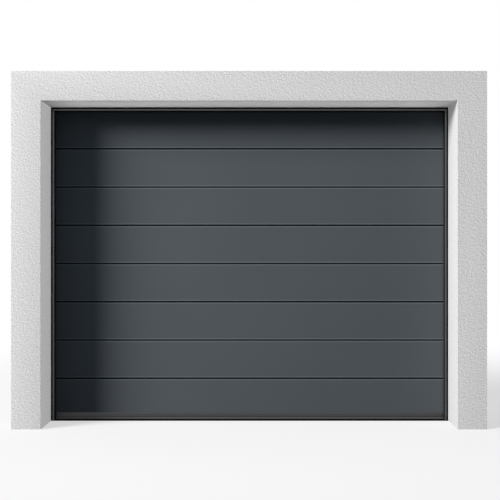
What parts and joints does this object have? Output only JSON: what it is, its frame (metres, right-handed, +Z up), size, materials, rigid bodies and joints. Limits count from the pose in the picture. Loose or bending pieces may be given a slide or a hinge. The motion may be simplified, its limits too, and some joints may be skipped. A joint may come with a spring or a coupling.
{
  "type": "sectional garage door",
  "caption": "Overhead garage door of hinged insulated sections, closed in a rendered masonry surround, with tracks, rollers and a torsion spring counterbalance.",
  "frame": {"origin": "middle of the clear opening, on the floor, in the outer face of the wall", "axes": "+X to the right seen from outside, +Y into the garage, +Z up"},
  "size_m": [3.084, 2.83, 2.322],
  "materials": {
    "render": "rough white mineral render",
    "leaf_coat": "smooth anthracite grey factory coat",
    "cap_coat": "anthracite grey coat on steel end caps",
    "profile_coat": "dark coated aluminium extrusion",
    "frame_coat": "grey coated steel frame",
    "black_rubber": "matt black rubber",
    "galvanised": "galvanised steel",
    "spring_steel": "oiled spring steel",
    "cast_plugs": "cast plugs",
    "cast_drum": "die cast drum",
    "wire_rope": "stranded steel wire",
    "nylon": "off-white nylon"
  },
  "bodies": {
    "frame": {"wall_jamb_left": "render", "wall_jamb_right": "render", "wall_lintel": "render", "side_frame_left": "frame_coat", "side_frame_right": "frame_coat", "head_frame": "frame_coat", "perimeter_gasket": "black_rubber", "perimeter_seal": "black_rubber", "vertical_track_left": "galvanised", "vertical_track_right": "galvanised", "curved_track_left": "galvanised", "curved_track_right": "galvanised", "lower_rail_left": "galvanised", "lower_rail_right": "galvanised", "upper_bend_left": "galvanised", "upper_bend_right": "galvanised", "upper_rail_left": "galvanised", "upper_rail_right": "galvanised", "track_gussets": "galvanised", "ceiling_hangers": "galvanised", "rear_crossbar": "galvanised", "spring_shaft": "galvanised", "torsion_spring_left": "spring_steel", "torsion_spring_right": "spring_steel", "spring_plugs": "cast_plugs", "centre_bracket": "galvanised", "end_brackets": "galvanised", "cable_drums": "cast_drum", "lift_cables": "wire_rope"},
    "leaf": {"bottom_section": "leaf_coat", "lower_section": "leaf_coat", "upper_section": "leaf_coat", "leaf_end_caps": "cap_coat", "bottom_profile": "profile_coat", "bottom_seal": "black_rubber", "hinges_lower": "galvanised", "hinges_middle": "galvanised", "hinges_upper": "galvanised", "bottom_brackets": "galvanised", "leaf_rollers": "nylon"},
    "top_panel": {"top_section": "leaf_coat", "top_end_caps": "cap_coat", "top_hinge_flaps": "galvanised", "top_roller_brackets": "galvanised", "top_rollers": "nylon"}
  },
  "joints": [
    {"name": "leaf_lift", "type": "slide", "parent": "frame", "child": "leaf", "axis": [0, 0, 1], "range_m": [0, 0.2897], "deforming": ["lift_cables"]},
    {"name": "top_tilt", "type": "hinge", "parent": "leaf", "child": "top_panel", "pos_m": [0, 0.306, 1.5895], "axis": [-1, 0, 0], "range_deg": [0, 45.5]}
  ],
  "couplings": [
    {"joint": "top_tilt", "follows": "leaf_lift", "rad_per_m": 2.741}
  ]
}
